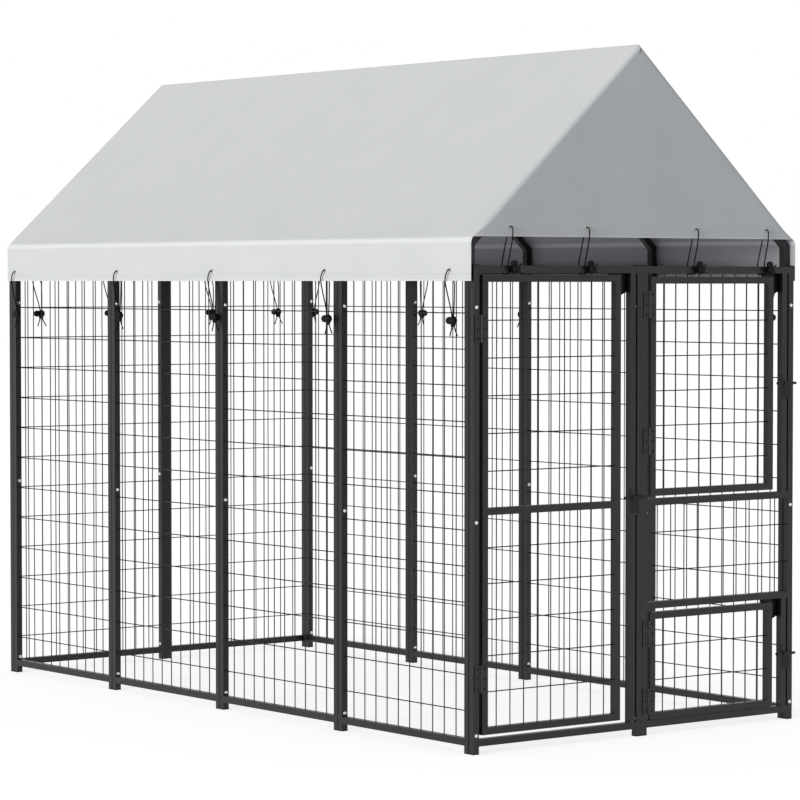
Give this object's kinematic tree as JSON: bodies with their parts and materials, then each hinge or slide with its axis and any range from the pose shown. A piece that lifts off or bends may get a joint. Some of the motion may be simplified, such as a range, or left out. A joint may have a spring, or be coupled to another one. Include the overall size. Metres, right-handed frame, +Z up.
{
  "type": "outdoor dog kennel run",
  "caption": "Long outdoor dog run of bolted wire mesh panels with a walk-in door, upper and lower hatches on hinges, slide latches, and a tied fabric cover on a pitched tube roof.",
  "frame": {"origin": "centre of the part's own box at ground level, where the foot caps stand", "axes": "+Z up, the front wall with its doors faces -Y, the long sides run along Y, the door hinges are towards -X"},
  "size_m": [1.266, 2.486, 1.974],
  "materials": {
    "frame_steel": "satin powder coat",
    "mesh_wire": "satin powder coat",
    "roof_steel": "satin powder coat",
    "latch_steel": "satin",
    "zinc_steel": "bright zinc",
    "cap_plastic": "matte",
    "cover_fabric": "fine coated weave",
    "eyelet_metal": "satin",
    "cord": "braided",
    "lock_plastic": "semi-gloss"
  },
  "bodies": {
    "kennel": {"left_panel_1": "frame_steel", "left_panel_2": "frame_steel", "left_panel_3": "frame_steel", "left_panel_4": "frame_steel", "right_panel_1": "frame_steel", "right_panel_2": "frame_steel", "right_panel_3": "frame_steel", "right_panel_4": "frame_steel", "left_mesh_1": "mesh_wire", "left_mesh_2": "mesh_wire", "left_mesh_3": "mesh_wire", "left_mesh_4": "mesh_wire", "right_mesh_1": "mesh_wire", "right_mesh_2": "mesh_wire", "right_mesh_3": "mesh_wire", "right_mesh_4": "mesh_wire", "rear_panel_1": "frame_steel", "rear_panel_2": "frame_steel", "rear_mesh_1": "mesh_wire", "rear_mesh_2": "mesh_wire", "walk_panel": "frame_steel", "hatch_panel": "frame_steel", "hatch_mesh": "mesh_wire", "walk_post_leaves": "frame_steel", "upper_post_leaves": "frame_steel", "lower_post_leaves": "frame_steel", "latch_plates": "frame_steel", "door_stops": "frame_steel", "roof_truss_1": "roof_steel", "roof_truss_2": "roof_steel", "roof_truss_3": "roof_steel", "roof_truss_4": "roof_steel", "roof_truss_5": "roof_steel", "roof_spigots": "roof_steel", "ridge_tube": "roof_steel", "ridge_brackets": "roof_steel", "hinge_pins": "zinc_steel", "frame_bolts": "zinc_steel", "frame_nuts": "zinc_steel", "foot_caps": "cap_plastic", "top_caps": "cap_plastic", "roof_cover": "cover_fabric", "cover_eyelets": "eyelet_metal", "tie_cords": "cord", "tie_locks": "lock_plastic"},
    "walk_door": {"walk_door": "frame_steel", "walk_door_mesh": "mesh_wire", "walk_door_leaves": "frame_steel"},
    "upper_hatch": {"upper_hatch": "frame_steel", "upper_hatch_mesh": "mesh_wire", "upper_hatch_leaves": "frame_steel"},
    "lower_hatch": {"lower_hatch": "frame_steel", "lower_hatch_mesh": "mesh_wire", "lower_hatch_leaves": "frame_steel"},
    "walk_latch": {"walk_latch_bolt": "latch_steel"},
    "upper_latch": {"upper_latch_bolt": "latch_steel"},
    "lower_latch": {"lower_latch_bolt": "latch_steel"}
  },
  "joints": [
    {"name": "walk_door_hinge", "type": "hinge", "parent": "kennel", "child": "walk_door", "pos_m": [-0.584, -1.2212, 0.6845], "axis": [0, 0, -1], "range_deg": [0, 170]},
    {"name": "upper_hatch_hinge", "type": "hinge", "parent": "kennel", "child": "upper_hatch", "pos_m": [0.036, -1.2212, 0.9985], "axis": [0, 0, -1], "range_deg": [0, 150]},
    {"name": "lower_hatch_hinge", "type": "hinge", "parent": "kennel", "child": "lower_hatch", "pos_m": [0.036, -1.2212, 0.2], "axis": [0, 0, -1], "range_deg": [0, 150]},
    {"name": "walk_latch_slide", "type": "slide", "parent": "kennel", "child": "walk_latch", "axis": [-1, 0, 0], "range_m": [0, 0.026]},
    {"name": "upper_latch_slide", "type": "slide", "parent": "kennel", "child": "upper_latch", "axis": [-1, 0, 0], "range_m": [0, 0.026]},
    {"name": "lower_latch_slide", "type": "slide", "parent": "kennel", "child": "lower_latch", "axis": [-1, 0, 0], "range_m": [0, 0.026]}
  ]
}
